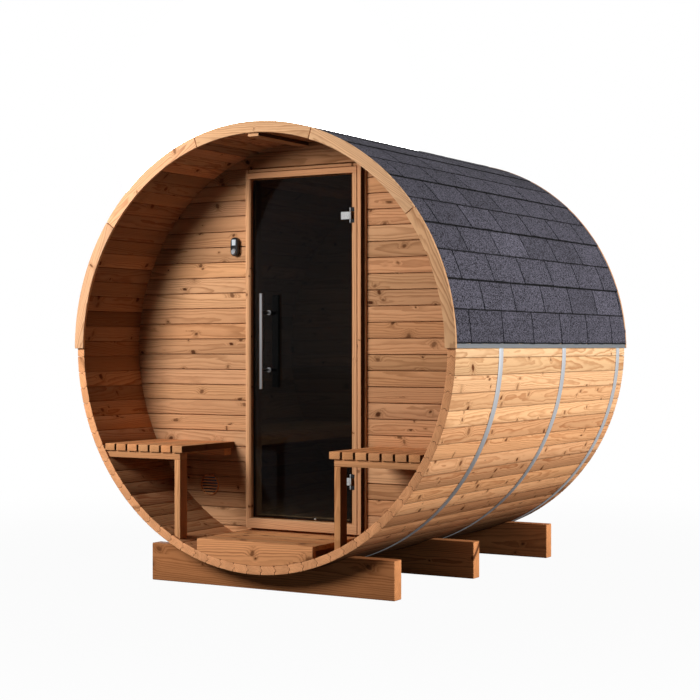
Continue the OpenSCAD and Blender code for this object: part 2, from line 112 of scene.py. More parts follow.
# Puts a shape into a mesh that sits at the origin, rides on a body and stands for CAD nodes
def putPiece(name, shape, material, nodes=(), body="cabin", smooth=22, weld=1e-6):
    mesh = bpy.data.meshes.new(name)
    mesh.from_pydata(np.concatenate(shape["points"]), [], shape["faces"])
    for label in ("grain", "tone"):
        values = np.concatenate(shape[label]).astype(np.float32)
        layer = mesh.attributes.new(label, "FLOAT_VECTOR", "POINT")
        layer.data.foreach_set("vector", values.ravel())
    work = bmesh.new()
    work.from_mesh(mesh)
    bmesh.ops.dissolve_degenerate(work, dist=weld, edges=work.edges)
    bmesh.ops.recalc_face_normals(work, faces=work.faces)
    work.to_mesh(mesh)
    work.free()
    mesh.shade_smooth()
    mesh.set_sharp_from_angle(angle=math.radians(smooth))
    piece = newObject(name, mesh)
    mesh.materials.append(material)
    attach(piece, body)
    if nodes:
        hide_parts(*nodes)


# Points at a radius and a turn about a level axis along Y; side -1 mirrors them to the left
def roundAxis(radius, turn, y, side=1, middle=axis):
    across, up = side * radius * np.cos(turn), radius * np.sin(turn)
    return np.stack(np.broadcast_arrays(across, y, up), -1) + middle


def halfChord(radius, offset):
    return np.sqrt(radius**2 - offset**2)


# A closed outline whose corners are cut back by ease on both sides and rounded through the middle
def eased(outline, ease):
    corner = np.asarray(outline, float)

    def towards(other):
        step = other - corner
        return corner + step * (ease / np.linalg.norm(step, axis=1))[:, None]

    before, after = towards(np.roll(corner, 1, axis=0)), towards(np.roll(corner, -1, axis=0))
    return np.stack([before, (before + after + 2 * corner) / 4, after], axis=1).reshape(-1, 2)


def rectangle(low, high):
    return np.array([[low[0], low[1]], [high[0], low[1]], [high[0], high[1]], [low[0], high[1]]])


# The outline carried from start to end, drawn in at both ends so that the end edges are rounded
def easedRun(outline, start, end, ease, bend=0.3):
    middle = (outline.min(0) + outline.max(0)) / 2
    half = (outline.max(0) - outline.min(0)) / 2
    drawIn = ease * np.array([1, bend, 0, 0, bend, 1])
    depth = ease * np.array([0, bend, 1])
    run = np.concatenate([start + depth, end - depth[::-1]])
    scale = (half[None, :] - drawIn[:, None]) / half[None, :]
    return middle + (outline - middle)[None] * scale[:, None, :], run


# A board's place in its log: across and through are measured from the pith, which leans a little
# along the board, and every board starts at another height in the tree.
log = dict(side=0.045, deep=(0.018, 0.085), lean=0.02, stepUp=3.7, count=0)


def inLog(local):
    flat = local.reshape(-1, 3)
    grain = flat - (flat.min(0) + flat.max(0)) / 2
    lean = dice.normal(0, log["lean"], 2)
    grain[:, 0] += dice.uniform(-1, 1) * log["side"] + lean[0] * grain[:, 2]
    grain[:, 1] += dice.uniform(*log["deep"]) * dice.choice((-1, 1)) + lean[1] * grain[:, 2]
    log["count"] += 1
    grain[:, 2] += log["stepUp"] * log["count"]
    return grain


def boardTone(spread=0.07, bright=1.0, red=0.35):
    return (bright * (1 + spread * dice.normal()), dice.uniform(), red * dice.uniform())


# A tone for each point of a run; the sides at the outline's least and greatest X can have their
# own, such as a painted shade
def flanked(outline, rows, tone, flank):
    tones = np.tile(np.asarray(tone, float), (rows, len(outline), 1))
    if flank is not None:
        x = outline[:, 0]
        tones[1:-1, np.isclose(x, x.min()) | np.isclose(x, x.max())] = flank
    return tones


# An outline across two axes, carried along the third; order puts its width, depth and grain first
def addRun(shape, outline, across, ends, order, ease=0.0025, spread=0.07, bright=1.0, flank=None):
    flat, run = easedRun(outline, *ends, ease)
    loops = np.empty(flat.shape[:2] + (3,))
    loops[..., across] = flat
    loops[..., 3 - sum(across)] = run[:, None]
    grain = inLog(loops[..., order])
    addTube(shape, loops, grain, flanked(outline, len(run), boardTone(spread, bright), flank))


# A board that fills a box: its eased rectangle carried along the grain, axis 0, 1 or 2
def addBoard(shape, low, high, along, ease=0.0025, spread=0.07, bright=1.0, flank=None):
    low, high = np.asarray(low, float), np.asarray(high, float)
    across = [k for k in range(3) if k != along]
    outline = eased(rectangle(low[across], high[across]), ease)
    order = sorted(across, key=lambda k: low[k] - high[k]) + [along]
    addRun(shape, outline, across, (low[along], high[along]), order, ease, spread, bright, flank)


# A plank sawn to an outline in X and Z, from start to end along Y, its grain along X or upright
def addSawn(shape, outline, start, end, upright=False, **look):
    addRun(shape, outline, [0, 2], (start, end), [0, 1, 2] if upright else [2, 1, 0], **look)


# A plate or block with eased edges, for hardware
def addBlock(shape, low, high, ease=0.0006):
    addBoard(shape, low, high, 2, ease, 0.0)


# A profile of (distance along the axis, radius) turned about an axis through a point
def addTurned(shape, point, direction, profile, around=32):
    direction = np.asarray(direction, float)
    side = np.cross(direction, [0, 0, 1]) if direction[2] == 0 else np.array([1.0, 0, 0])
    other = np.cross(direction, side)
    turn = np.arange(around) * 2 * np.pi / around
    circle = np.cos(turn)[:, None] * side + np.sin(turn)[:, None] * other
    profile = np.asarray(profile, float)
    along, out = profile[:, :1, None] * direction, profile[:, 1:, None] * circle[None]
    addTube(shape, np.asarray(point) + along + out)


# A turned piece's profile from start to end with both edges rounded
def domed(start, end, radius, ease, steps=4):
    turn = np.linspace(0, np.pi / 2, steps)
    inset, shrink = ease * (1 - np.sin(turn)), ease * (1 - np.cos(turn))
    rise = np.stack([start + inset[::-1], radius - shrink[::-1]], 1)
    fall = np.stack([end - inset, radius - shrink], 1)
    return np.concatenate([rise, fall])


# An sRGB colour, 0 to 255, as the linear colour that shaders take
def ink(red, green, blue):
    value = np.array([red, green, blue]) / 255
    return (*np.where(value <= 0.04045, value / 12.92, ((value + 0.055) / 1.055) ** 2.4), 1.0)


def darker(colour, share):
    return (*(share * c for c in ink(*colour)[:3]), 1)


# Links a socket, or sets a constant on it
def feed(socket, value):
    if isinstance(value, bpy.types.NodeSocket):
        socket.id_data.links.new(value, socket)
    else:
        socket.default_value = value


def addNode(tree, kind, inputs=None, **settings):
    made = tree.nodes.new(kind)
    for key, value in settings.items():
        setattr(made, key, value)
    for key, value in (inputs or {}).items():
        feed(made.inputs[key], value)
    return made


# The node tree of the first socket among some values
def treeOf(*values):
    return next(value.id_data for value in values if isinstance(value, bpy.types.NodeSocket))


def calc(operation, *values, kind="ShaderNodeMath"):
    inputs = dict(enumerate(values))
    return addNode(treeOf(*values), kind, inputs, operation=operation).outputs[0]


def vectorCalc(operation, *values):
    return calc(operation, *values, kind="ShaderNodeVectorMath")


def plus(first, second):
    return calc("ADD", first, second)


def minus(first, second):
    return calc("SUBTRACT", first, second)


def times(first, second):
    return calc("MULTIPLY", first, second)


def over(first, second):
    return calc("DIVIDE", first, second)


# value * factor + base
def scaled(value, factor, base):
    return calc("MULTIPLY_ADD", value, factor, base)


def hypotenuse(first, second):
    return calc("SQRT", plus(times(first, first), times(second, second)))


def stretch(vector, factors):
    return vectorCalc("MULTIPLY", vector, factors)


def split(vector, kind="ShaderNodeSeparateXYZ"):
    return addNode(vector.id_data, kind, {0: vector}).outputs


def splitColour(colour):
    return split(colour, "ShaderNodeSeparateColor")


def grey(value):
    inputs = {0: value, 1: value, 2: value}
    return addNode(value.id_data, "ShaderNodeCombineColor", inputs).outputs[0]


# Sockets 6 and 7 and output 2 are the Mix node's colours
def blend(factor, first, second, how="MIX"):
    inputs = {0: factor, 6: first, 7: second}
    tree = treeOf(factor, first, second)
    made = addNode(tree, "ShaderNodeMix", data_type="RGBA", blend_type=how)
    for key, value in inputs.items():
        feed(made.inputs[key], value)
    return made.outputs[2]


def ramp(value, start, end, low=0.0, high=1.0):
    inputs = {"Value": value, "From Min": start, "From Max": end, "To Min": low, "To Max": high}
    settings = {"interpolation_type": "SMOOTHSTEP"}
    return addNode(value.id_data, "ShaderNodeMapRange", inputs, **settings).outputs[0]


def noise(vector, scale=1.0, detail=2.0, output="Fac"):
    inputs = {"Vector": vector, "Scale": scale, "Detail": detail}
    return addNode(vector.id_data, "ShaderNodeTexNoise", inputs).outputs[output]


def objectPlace(tree):
    return addNode(tree, "ShaderNodeTexCoord").outputs["Object"]


def attribute(tree, name):
    return addNode(tree, "ShaderNodeAttribute", attribute_name=name).outputs["Vector"]


# Pairs are a factor and a base for scaled(), or the two ends of a ramp
growth = dict(
    wander=(5, 5, 1.1),
    stray=(0.03, 0.03, 0),  # how far the pith wanders
    cellTurn=1.9, cellUp=3.4,
    slant=0.35,  # of a branch
    knotSize=(1.1, 0.35),
    none=50.0,  # sends a branch that didn't grow far away
    fray=(160, 160, 160), frayed=(0.7, 0.65), knotEdge=(0.55, 1.3),
    haloFall=-0.22, ripple=(34, 34, 6.5), rippled=0.011,
    swell=1.5,  # of the rings round a knot
    lateWood=(0.3, 0.88), newYear=(0.9, 1.0), weather=(0.65, 0.35),
    fibre=(420, 420, 9), streak=(24, 24, 0.7), warmth=0.55,
    warm=(1.0, 0.86, 0.70, 1), red=(1.0, 0.80, 0.80, 1), haloDeep=0.45,
    fibreShade=(0.22, 0.89), streakShade=(0.4, 0.8), knotDark=(0.5, 0.48),
    fibreRough=0.2, knotRough=(-0.12, 0.48), fibreHeight=0.5, lineHeight=-0.5,
    knotHeight=0.3, bump=0.0006,
)


# Growth rings about the pith, bent round branch knots that run out from it, with fibres and streaks
def makeWoodFigure():
    tree = bpy.data.node_groups.new("woodFigure", "ShaderNodeTree")
    for label, kind, value in (
        ("grain", "Vector", None),
        ("tone", "Vector", None),
        ("pale", "Color", None),
        ("deep", "Color", None),
        ("knot", "Color", None),
        ("ring", "Float", 0.006),
        ("figure", "Float", 0.7),
        ("knotSize", "Float", 0.012),
        ("knotShare", "Float", 0.25),
        ("knotShape", "Float", 0.75),
    ):
        made = tree.interface.new_socket(label, in_out="INPUT", socket_type="NodeSocket" + kind)
        if value is not None:
            made.default_value = value
    for label, kind in (("Color", "Color"), ("Roughness", "Float"), ("Height", "Float")):
        tree.interface.new_socket(label, in_out="OUTPUT", socket_type="NodeSocket" + kind)
    given = tree.nodes.new("NodeGroupInput").outputs
    result = tree.nodes.new("NodeGroupOutput").inputs

    grain = given["grain"]
    wander = noise(stretch(grain, growth["wander"]), output="Color")
    shift = vectorCalc("SUBTRACT", wander, (0.5, 0.5, 0.5))
    part = split(vectorCalc("MULTIPLY_ADD", shift, growth["stray"], grain))
    radius = hypotenuse(part[0], part[1])
    turn = calc("ARCTAN2", part[0], part[1])

    # branches: one chance for each cell of turn about the pith and height in the tree
    cellTurn, cellUp = growth["cellTurn"], growth["cellUp"]
    inputs = {0: times(turn, cellTurn), 1: times(part[2], cellUp)}
    cell = addNode(tree, "ShaderNodeCombineXYZ", inputs).outputs[0]
    branch = addNode(
        tree, "ShaderNodeTexVoronoi", {"Vector": cell, "Scale": 1.0},
        voronoi_dimensions="2D", feature="F1",
    ).outputs
    root, chance = split(branch["Position"]), splitColour(branch["Color"])
    aside = times(radius, minus(turn, over(root[0], cellTurn)))
    upward = minus(part[2], over(root[1], cellUp))
    knotR = times(given["knotSize"], scaled(chance[0], *growth["knotSize"]))
    wide = times(aside, given["knotShape"])
    tall = over(scaled(aside, growth["slant"], upward), given["knotShape"])
    absent = times(calc("GREATER_THAN", chance[1], given["knotShare"]), growth["none"])
    frayed = scaled(noise(stretch(grain, growth["fray"])), *growth["frayed"])
    away = plus(absent, times(over(hypotenuse(wide, tall), knotR), frayed))
    knot = ramp(away, *growth["knotEdge"], 1.0, 0.0)
    halo = calc("EXPONENT", times(times(away, away), growth["haloFall"]))

    # rings: pale early wood that darkens to a late wood line, then starts again
    ripple = times(minus(noise(stretch(grain, growth["ripple"])), 0.5), growth["rippled"])
    grown = plus(plus(radius, ripple), times(times(halo, knotR), growth["swell"]))
    year = over(grown, given["ring"])
    season = calc("FRACT", year)
    late = times(ramp(season, *growth["lateWood"]), ramp(season, *growth["newYear"], 1.0, 0.0))
    inputs = {"W": calc("FLOOR", year)}
    weather = addNode(tree, "ShaderNodeTexWhiteNoise", inputs, noise_dimensions="1D").outputs[0]
    line = times(times(late, given["figure"]), scaled(weather, *growth["weather"]))
    fibre = noise(stretch(grain, growth["fibre"]))
    streak = noise(stretch(grain, growth["streak"]))

    tone = split(given["tone"])
    colour = blend(line, given["pale"], given["deep"])
    colour = blend(times(tone[1], growth["warmth"]), colour, growth["warm"], "MULTIPLY")
    colour = blend(tone[2], colour, growth["red"], "MULTIPLY")
    colour = blend(times(halo, growth["haloDeep"]), colour, given["deep"])
    shade = scaled(fibre, *growth["fibreShade"])
    shade = times(times(shade, scaled(streak, *growth["streakShade"])), tone[0])
    colour = blend(1.0, colour, grey(shade), "MULTIPLY")
    colour = blend(times(knot, scaled(chance[2], *growth["knotDark"])), colour, given["knot"])
    rough = scaled(fibre, growth["fibreRough"], scaled(knot, *growth["knotRough"]))
    height = scaled(line, growth["lineHeight"], times(knot, growth["knotHeight"]))
    height = scaled(fibre, growth["fibreHeight"], height)
    for label, value in (("Color", colour), ("Roughness", rough), ("Height", height)):
        feed(result[label], value)
    return tree


woodFigure = makeWoodFigure()


def newMaterial(name, gloss=0.5, **plain):
    material = bpy.data.materials.new(name)
    material.use_nodes = True
    shader = material.node_tree.nodes["Principled BSDF"]
    for key, value in {"Specular IOR Level": gloss, **plain}.items():
        shader.inputs[key].default_value = value
    return material, material.node_tree, shader.inputs


# Colour, roughness and a bump of some depth, all made by nodes
def dress(look, colour, roughness, height, depth):
    feed(look["Base Color"], colour)
    feed(look["Roughness"], roughness)
    inputs = {"Height": height, "Distance": depth, "Strength": 1.0}
    feed(look["Normal"], addNode(look["Normal"].id_data, "ShaderNodeBump", inputs).outputs[0])


# Wood on the boards' own grain and tone, the tone carrying painted shade on some boards, or, where
# shift is given, on a CAD node with upright grain
def newWood(name, pale, deep, knot=(84, 46, 25), gloss=0.02, shift=None, **figure):
    material, tree, look = newMaterial(name, gloss)
    if shift is None:
        grain, tone = attribute(tree, "grain"), attribute(tree, "tone")
    else:
        grain, tone = vectorCalc("ADD", objectPlace(tree), shift), (1.0, 0.5, 0.2)
    inks = {"pale": ink(*pale), "deep": ink(*deep), "knot": ink(*knot)}
    inputs = {"grain": grain, "tone": tone, **inks, **figure}
    group = addNode(tree, "ShaderNodeGroup", node_tree=woodFigure)
    for key, value in inputs.items():
        feed(group.inputs[key], value)
    made = group.outputs
    dress(look, made["Color"], made["Roughness"], made["Height"], growth["bump"])
    return material


staveWood = newWood(
    "staveWood", (240, 200, 154), (190, 134, 90), (98, 52, 28), 0.002,
    figure=0.85, knotShare=0.4, knotSize=0.010, knotShape=0.95,
)
trimWood = newWood("trimWood", (216, 174, 134), (156, 105, 71), knotShare=0.16, knotSize=0.008)
wallWood = newWood(
    "wallWood", (194, 148, 109), (126, 83, 51), (70, 36, 20),
    figure=0.6, ring=0.008, knotShare=0.4, knotSize=0.010, knotShape=1.1,
)
frameWood = newWood("frameWood", (204, 155, 114), (158, 108, 72), knotShare=0.22, knotSize=0.007)
benchWood = newWood("benchWood", (210, 154, 107), (156, 102, 65), knotShare=0.06, knotSize=0.008)
stepWood = newWood(
    "stepWood", (204, 147, 100), (134, 83, 50), knotShare=0.5, ring=0.009, knotShape=1.1
)
cradleWood = newWood(
    "cradleWood", (228, 158, 104), (150, 90, 52), knotShare=0.35, ring=0.008, knotShape=1.1
)
hiddenWood = newWood(
    "hiddenWood", (176, 122, 80), (126, 78, 47), (74, 40, 22),
    shift=(0.02, 0.05, 7.0), knotSize=0.011,
)
darkWood = newWood("darkWood", (15, 12, 11), (10, 8, 7), (6, 5, 4), knotShare=0.0)

metal = dict(shade=0.86, cloud=9.0, fineRough=0.12, cloudRough=0.1, bump=0.0001)


# Rolled or brushed metal: fine streaks along one direction of the Object coordinates
def streakedMetal(name, colour, roughness, streaks, metallic=1.0):
    material, tree, look = newMaterial(name, Metallic=metallic)
    place = objectPlace(tree)
    fine, cloud = noise(stretch(place, streaks), detail=3.0), noise(place, metal["cloud"])
    shown = blend(fine, darker(colour, metal["shade"]), ink(*colour))
    rough = scaled(cloud, metal["cloudRough"], roughness - metal["cloudRough"])
    dress(look, shown, scaled(fine, metal["fineRough"], rough), fine, metal["bump"])
    return material


hoopSteel = streakedMetal("hoopSteel", (222, 224, 228), 0.38, (60, 900, 60))
dripMetal = streakedMetal("dripMetal", (132, 134, 137), 0.42, (500, 14, 500))
satinSteel = streakedMetal("satinSteel", (206, 206, 206), 0.26, (900, 900, 40))
handleSteel = streakedMetal("handleSteel", (164, 164, 166), 0.3, (900, 900, 40))
blackMetal = streakedMetal("blackMetal", (28, 28, 31), 0.45, (200, 200, 200), metallic=0.4)

felt = dict(
    gloss=0.1, granule=270.0, clump=120.0, clumped=0.3, cloud=6.0,
    clouded=0.25, range=(0.2, 1.1), dark=(10, 10, 14), pale=(100, 97, 109),
    rough=(0.2, 0.75), bump=0.0012,
)


# Bitumen felt under mineral granules: one tone for each granule, clumps, and a tone for each tab,
# which carries painted shade
def makeShingle():
    material, tree, look = newMaterial("shingle", felt["gloss"])
    place = objectPlace(tree)
    inputs = {"Vector": place, "Scale": felt["granule"]}
    granule = addNode(tree, "ShaderNodeTexVoronoi", inputs).outputs
    speck = splitColour(granule["Color"])
    clump, cloud = noise(place, felt["clump"], 3.0), noise(place, felt["cloud"])
    value = plus(speck[0], times(clump, felt["clumped"]))
    value = scaled(minus(cloud, 0.5), felt["clouded"], value)
    colour = blend(ramp(value, *felt["range"]), ink(*felt["dark"]), ink(*felt["pale"]))
    colour = blend(1.0, colour, grey(split(attribute(tree, "tone"))[0]), "MULTIPLY")
    height = times(granule["Distance"], -1.0)
    dress(look, colour, scaled(speck[1], *felt["rough"]), height, felt["bump"])
    return material


shingle = makeShingle()
plastic = dict(grain=900.0, shade=0.8, rough=0.15, least=-0.07, bump=0.0002)


def moulded(name, colour, roughness):
    material, tree, look = newMaterial(name)
    grainy = noise(objectPlace(tree), plastic["grain"])
    shown = blend(grainy, darker(colour, plastic["shade"]), ink(*colour))
    rough = scaled(grainy, plastic["rough"], roughness + plastic["least"])
    dress(look, shown, rough, grainy, plastic["bump"])
    return material


blackPlastic = moulded("blackPlastic", (26, 26, 28), 0.42)
knobPlastic = moulded("knobPlastic", (150, 152, 156), 0.35)
displayGlass = moulded("displayGlass", (196, 202, 208), 0.25)

# Dark tinted glass: mostly opaque for its tint, with faint smears in the gloss
pane = dict(
    gloss=0.08, tint=0.66, bend=1.5, smear=(3, 3, 1.4), rough=(0.05, 0.005), ease=0.001
)
tintedGlass, tree, look = newMaterial(
    "tintedGlass", pane["gloss"],
    **{"Base Color": ink(3, 3, 3), "IOR": pane["bend"], "Alpha": pane["tint"]},
)
smear = noise(stretch(objectPlace(tree), pane["smear"]), detail=4.0)
feed(look["Roughness"], scaled(smear, *pane["rough"]))
print("materials made:", len(bpy.data.materials))

stave = dict(
    ease=0.0046, endEase=0.0015, bead=0.008, play=0.0008, sink=0.0006, arcSteps=7,
    skin=0.012,  # depth of the outer face with its edges
    spread=0.12,
    power=8,  # how soon the painted shade of the lowest staves and the painted light of the highest die away
    # painted shade and light: inner faces darker and redder, lower outer faces darker and redder,
    # upper inner faces lighter
    innerShade=0.5, innerSpread=1.4, innerShadeWarm=0.5, innerShadeRed=0.7,
    ceiling=0.4, floorShade=0.12, floorShadeWarm=1.1, outerShade=1.05,
    underShade=2.0, leastShade=0.12, underShadeWarm=1.9, underShadeRed=0.9,
    lip=0.0003,  # below this depth an edge belongs to the seam
    seamShade=0.55, seamLeast=0.25, endSpread=0.4, endShade=0.93, endWarm=1.6, endRed=0.85,
)


# A stave seen end on, as (radius, offset): flat faces, eased corners, a bead on one edge and the
# matching cove on the other
def staveOutline():
    low, high = barrel["innerR"], outerR
    middle = (low + high) / 2

    def edge(radius):
        return radius * math.tan(math.pi / barrel["staves"]) - stave["play"] / 2

    corners = [[low, edge(low)], [low, -edge(low)], [high, -edge(high)], [high, edge(high)]]
    corner = eased(corners, stave["ease"]).reshape(4, 3, 2)
    turn = np.linspace(-np.pi / 2, np.pi / 2, stave["arcSteps"])
    beadR, coveR = stave["bead"], stave["bead"] + stave["play"]
    cove = np.stack([middle + coveR * np.sin(turn), -edge(middle) + coveR * np.cos(turn)], 1)
    bead = np.stack([middle - beadR * np.sin(turn), edge(middle) + beadR * np.cos(turn)], 1)
    return np.concatenate([corner[0], corner[1], cove, corner[2], corner[3], bead])


def addStave(shape, angle):
    flat, run = easedRun(staveOutline(), frontY, rearY, stave["endEase"])
    radius, offset = flat[..., 0] - stave["sink"] * dice.uniform(), flat[..., 1]
    across = radius * math.cos(angle) - offset * math.sin(angle)
    up = radius * math.sin(angle) + offset * math.cos(angle)
    loops = np.stack([across, np.broadcast_to(run[:, None], radius.shape), up], -1) + axis
    bright, warm, red = boardTone(stave["spread"])

    # painted shade: the lower staves are darker and redder outside, and the inner faces are darker
    # and redder, more so low down, with painted light under the ceiling
    under, above = max(0.0, -math.sin(angle)), max(0.0, math.sin(angle))
    inside = flat[..., 0] < outerR - stave["skin"]
    inner = stave["innerShade"] * (1 - stave["floorShade"] * under) * bright ** stave["innerSpread"]
    inner *= 1 + stave["ceiling"] * above ** stave["power"]
    outer = stave["outerShade"] - stave["underShade"] * under ** stave["power"]
    outer = bright * max(stave["leastShade"], outer)
    innerShadeWarm = stave["innerShadeWarm"] + stave["floorShadeWarm"] * under
    tone = np.empty(flat.shape[:2] + (3,))
    tone[..., 0] = np.where(inside, inner, outer)
    tone[..., 1] = warm + np.where(inside, innerShadeWarm, stave["underShadeWarm"] * under)
    tone[..., 2] = red + np.where(inside, stave["innerShadeRed"], stave["underShadeRed"] * under)
    # the eased edges at the outer seams are darker: a dark joint, plus painted shade that grows on
    # the lower staves
    seam = ~inside & (flat[..., 0] < outerR - stave["lip"])
    tone[seam, 0] *= 1 - stave["seamShade"] * (stave["seamLeast"] + under)
    ends = (1 + (bright - 1) * stave["endSpread"]) * stave["endShade"]
    tone[[0, 1, -2, -1]] = (ends, stave["endWarm"], stave["endRed"])
    addTube(shape, loops, inLog(np.stack([offset, radius, loops[..., 1]], -1)), tone)


for side, middle in (("bottom", 270), ("right", 0), ("top", 90), ("left", 180)):
    shape = newShape()
    quarter = barrel["staves"] // 4
    for k in range(quarter):
        addStave(shape, math.radians(middle + (k - (quarter - 1) / 2) * 360 / barrel["staves"]))
    putPiece("barrel_staves_" + side, shape, staveWood, ["staves_" + side])
print("staves set:", barrel["staves"])

# Flat steel hoops: a thin eased strip carried round the barrel
hoop = dict(innerR=1.0311, thick=0.0012, steps=256, ease=0.0004)
for name in ("front", "middle", "rear"):
    low, high, shape = begin("hoop_" + name)
    section = rectangle((hoop["innerR"], low[1]), (hoop["innerR"] + hoop["thick"], high[1]))
    strip = eased(section, hoop["ease"])
    turn = np.arange(hoop["steps"]) * 2 * np.pi / hoop["steps"]
    addTube(shape, roundAxis(strip[:, 0], turn[:, None], strip[:, 1]), ring=True)
    putPiece("steel_hoop_" + name, shape, hoopSteel, ["hoop_" + name])

# Cradle planks: a rectangle whose top is sawn to the barrel's curve; the faces carry a painted
# shade from the barrel above, and the sawn ends stay pale
cradle = dict(
    # shade: painted shade on the planks' faces
    saddleR=1.0302, ease=0.004, arcSteps=40, spread=0.05, shade=0.6, endTone=(1.0, 0.3, 0.1),
)
for name in ("front", "middle", "rear"):
    low, high, shape = begin("cradle_" + name)
    reach = halfChord(cradle["saddleR"], axis[2] - high[2])
    sweep = np.linspace(reach, -reach, cradle["arcSteps"])
    saddle = np.stack([sweep, axis[2] - halfChord(cradle["saddleR"], sweep)], 1)
    corners = eased(rectangle(low[[0, 2]], high[[0, 2]]), cradle["ease"])
    addSawn(
        shape, np.concatenate([corners[:9], saddle, corners[9:]]), low[1], high[1],
        ease=cradle["ease"], spread=cradle["spread"], bright=cradle["shade"],
        flank=cradle["endTone"],
    )
    putPiece("cradle_plank_" + name, shape, cradleWood, ["cradle_" + name])

# Trim arches: pieces sawn from straight planks, each carried along its part of the arc
trim = dict(
    innerR=0.984, outerR=1.037, parts=5, ease=0.003, gap=0.0028, steps=22, spread=0.05,
)
for name in ("front", "rear"):
    low, high, shape = begin(name + "_trim_arch")
    section = eased(rectangle((trim["innerR"], low[1]), (trim["outerR"], high[1])), trim["ease"])
    for k in range(trim["parts"]):
        span = math.pi / trim["parts"]
        half = span / 2 - trim["gap"] / 2 / outerR
        flat, run = easedRun(section, -half, half, trim["ease"] / outerR)
        between = np.linspace(run[2], run[3], trim["steps"])[1:-1]
        turn = np.concatenate([run[:3], between, run[3:]])[:, None]
        flat = np.concatenate([flat[:3], np.repeat(flat[2:3], len(between), 0), flat[3:]])
        loops = roundAxis(flat[..., 0], turn + (k + 0.5) * span, flat[..., 1])
        local = roundAxis(flat[..., 0], turn, flat[..., 1])
        addTube(shape, loops, inLog(local), boardTone(trim["spread"]))
    putPiece(name + "_arch_boards", shape, trimWood, [name + "_trim_arch"])
print("hoops, cradles and trim set")

zenith = 90.0  # roof angles are degrees above the axis
roof = dict(
    innerR=1.0323,
    felt=0.0011,  # underlay that shows in the slits
    feltSteps=64, feltInset=0.1, feltEnd=0.002, feltTone=(0.06, 0.5, 0.5),
    start=1.24, first=8.27, course=7.49, tab=0.3327, mostTabs=8, leastTab=0.02,
    firstSeam=0.1357,  # from the front edge, on the lowest course
    slit=0.0085,
    butt=(0.0050, 0.0036),  # even and odd courses
    dark=(0.16, 0.32),  # degrees of painted shade below the next course, even and odd courses
    brim=0.3,  # degrees along the lower edge, painted dark as a shadow line on the lowest course
    blend=0.01,  # share of a tab over which its tone changes
    topButt=0.0026,  # under the ridge
    head=0.0016,
    lap=0.35,  # degrees that a course reaches under the next
    ragged=0.0009, lift=(0.88, 1.08), uneven=0.06, spread=0.09,
    cutAndShadeTone=0.05,  # bare bitumen on the cut lower edges, also used for the painted shade bands
    ridgeShade=0.2,  # painted shade: the upper courses are darker towards the ridge
    stepsAlong=8, smooth=12,
)
edges = [roof["start"], roof["start"] + roof["first"]]
while edges[-1] + roof["course"] < zenith:
    edges.append(edges[-1] + roof["course"])
edges.append(zenith)


# One tab: a wedge, thick at its lower edge, whose lower edge is cut a little raggedly
def addTab(shape, side, bottom, top, y0, y1, butt, dark):
    count = roof["stepsAlong"]
    brim, shade = roof["brim"] / (top - bottom), 1 - (roof["lap"] + dark) / (top - bottom)
    up = np.array([0, brim, brim + roof["blend"], 0.5, shade - roof["blend"], shade, 1])
    ragged = dice.normal(0, roof["ragged"], count) / roof["innerR"]
    lift = butt * dice.uniform(*roof["lift"]) * (1 + roof["uneven"] * dice.normal(size=count))
    turn = math.radians(bottom) + ragged[:, None] * (1 - up) + up * math.radians(top - bottom)
    base = roof["innerR"] + roof["felt"]
    upper = base + roof["head"] + (lift[:, None] - roof["head"]) * (1 - up)
    turns = np.concatenate([turn, turn[:, ::-1]], 1)
    radii = np.concatenate([upper, np.full_like(upper, base)], 1)
    tones = np.full((len(up) * 2, 3), roof["cutAndShadeTone"])
    # painted shade: the tabs darken towards the ridge
    tones[: len(up)] = boardTone(roof["spread"], 1 - roof["ridgeShade"] * (bottom / zenith) ** 2)
    # painted shadow line along the lower edge of the lowest course
    tones[[0, 1] if bottom == edges[0] else 0] = roof["cutAndShadeTone"]
    # painted shade: a dark band at the top of the tab, under the next course
    tones[len(up) - 2 : len(up)] = roof["cutAndShadeTone"]
    along = np.linspace(y0, y1, count)[:, None]
    addTube(shape, roundAxis(radii, turns, along, side), tone=tones)


for name, side in (("right", 1), ("left", -1)):
    shape = newShape()
    turn = np.radians(np.linspace(edges[0] + roof["feltInset"], zenith, roof["feltSteps"]))
    radii = np.repeat([roof["innerR"], roof["innerR"] + roof["felt"]], roof["feltSteps"])
    ends = np.array([[frontY + roof["feltEnd"]], [rearY - roof["feltEnd"]]])
    loops = roundAxis(radii, np.concatenate([turn, turn[::-1]]), ends, side)
    addTube(shape, loops, tone=roof["feltTone"])
    least, most = frontY + roof["leastTab"], rearY - roof["leastTab"]
    half = roof["slit"] / 2
    for k in range(len(edges) - 1):
        seam = roof["firstSeam"] - (roof["tab"] / 2 if k % 2 else 0)
        seams = frontY + seam + roof["tab"] * np.arange(-1, roof["mostTabs"])
        seams = seams[(seams > least) & (seams < most)]
        cuts = np.concatenate([[frontY - half], seams, [rearY + half]])
        top = min(edges[k + 1] + roof["lap"], zenith)
        butt = roof["butt"][k % 2] if edges[k + 1] < zenith else roof["topButt"]
        for y0, y1 in zip(cuts[:-1], cuts[1:]):
            addTab(shape, side, edges[k], top, y0 + half, y1 - half, butt, roof["dark"][k % 2])
    putPiece(
        "shingle_tabs_" + name, shape, shingle, ["roof_shingles_" + name],
        smooth=roof["smooth"],
    )

